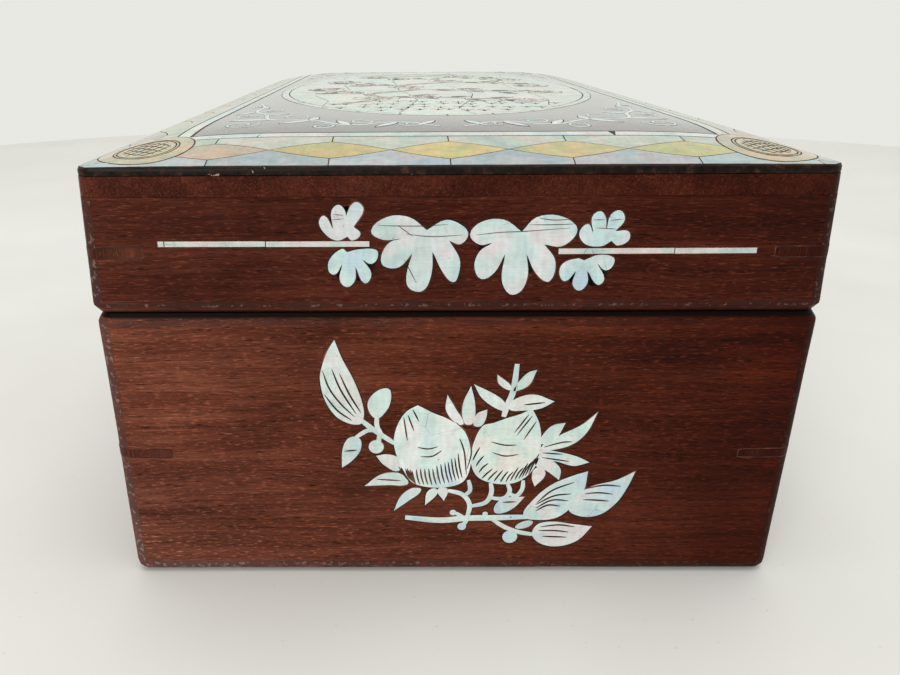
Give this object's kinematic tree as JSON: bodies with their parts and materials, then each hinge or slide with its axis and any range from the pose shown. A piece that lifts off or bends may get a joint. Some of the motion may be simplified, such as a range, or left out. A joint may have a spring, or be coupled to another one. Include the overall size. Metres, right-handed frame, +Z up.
{
  "type": "inlaid hinged box",
  "caption": "Long rectangular hardwood box with a hinged, domed lid, mitred and keyed corners, and mother-of-pearl inlay let into lid and sides.",
  "frame": {"origin": "middle of the underside, on the surface that the box stands on", "axes": "+Z up, +Y along the box, +X towards the hinge side; the near end faces -Y"},
  "size_m": [0.1142, 0.2108, 0.0759],
  "materials": {
    "body_wood": "oiled and waxed red-brown hardwood, satin, worn edges",
    "lid_wood": "darker red-brown hardwood, polished, fine scratches",
    "key_wood": "end grain of the same hardwood",
    "lacquer": "black lacquer, glossy",
    "pale_shell": "polished mother-of-pearl, pale blue-green to pink",
    "golden_shell": "polished golden shell",
    "brass_leaf": "tarnished brass, satin",
    "brass_pin": "tarnished brass, satin",
    "brass_screw": "brass, bright in the slot"
  },
  "bodies": {
    "body": {"body_near_end": "body_wood", "body_far_end": "body_wood", "body_left_side": "body_wood", "body_right_side": "body_wood", "body_key_near_left": "key_wood", "body_key_near_right": "key_wood", "body_key_far_left": "key_wood", "body_key_far_right": "key_wood", "body_bottom_board": "body_wood", "body_near_spray": "pale_shell", "body_far_spray": "pale_shell", "body_left_spray": "pale_shell", "body_right_spray": "pale_shell", "hinge_near_body_leaf": "brass_leaf", "hinge_near_pin": "brass_pin", "hinge_near_body_screw_a": "brass_screw", "hinge_near_body_screw_b": "brass_screw", "hinge_far_body_leaf": "brass_leaf", "hinge_far_pin": "brass_pin", "hinge_far_body_screw_a": "brass_screw", "hinge_far_body_screw_b": "brass_screw"},
    "lid": {"lid_near_rail": "lid_wood", "lid_far_rail": "lid_wood", "lid_left_rail": "lid_wood", "lid_right_rail": "lid_wood", "lid_key_near_left": "key_wood", "lid_key_near_right": "key_wood", "lid_key_far_left": "key_wood", "lid_key_far_right": "key_wood", "lid_near_garland": "pale_shell", "lid_far_garland": "pale_shell", "lid_left_garland": "pale_shell", "lid_right_garland": "pale_shell", "lid_near_line_left": "pale_shell", "lid_near_line_right": "pale_shell", "lid_far_line_left": "pale_shell", "lid_far_line_right": "pale_shell", "lid_top_board": "lid_wood", "lid_border_bed": "lacquer", "lid_band_near": "pale_shell", "lid_band_far": "pale_shell", "lid_band_left": "pale_shell", "lid_band_right": "pale_shell", "lid_medallion_near_left": "golden_shell", "lid_medallion_near_right": "golden_shell", "lid_medallion_far_left": "golden_shell", "lid_medallion_far_right": "golden_shell", "lid_stringing": "pale_shell", "lid_oval_panel": "pale_shell", "lid_scroll_near_left": "pale_shell", "lid_scroll_near_right": "pale_shell", "lid_scroll_far_left": "pale_shell", "lid_scroll_far_right": "pale_shell", "hinge_near_lid_leaf": "brass_leaf", "hinge_near_lid_screw_a": "brass_screw", "hinge_near_lid_screw_b": "brass_screw", "hinge_far_lid_leaf": "brass_leaf", "hinge_far_lid_screw_a": "brass_screw", "hinge_far_lid_screw_b": "brass_screw"}
  },
  "joints": [
    {"name": "lid_hinge", "type": "hinge", "parent": "body", "child": "lid", "pos_m": [0.05575, 0, 0.04965], "axis": [0, 1, 0], "range_deg": [0, 98]}
  ]
}
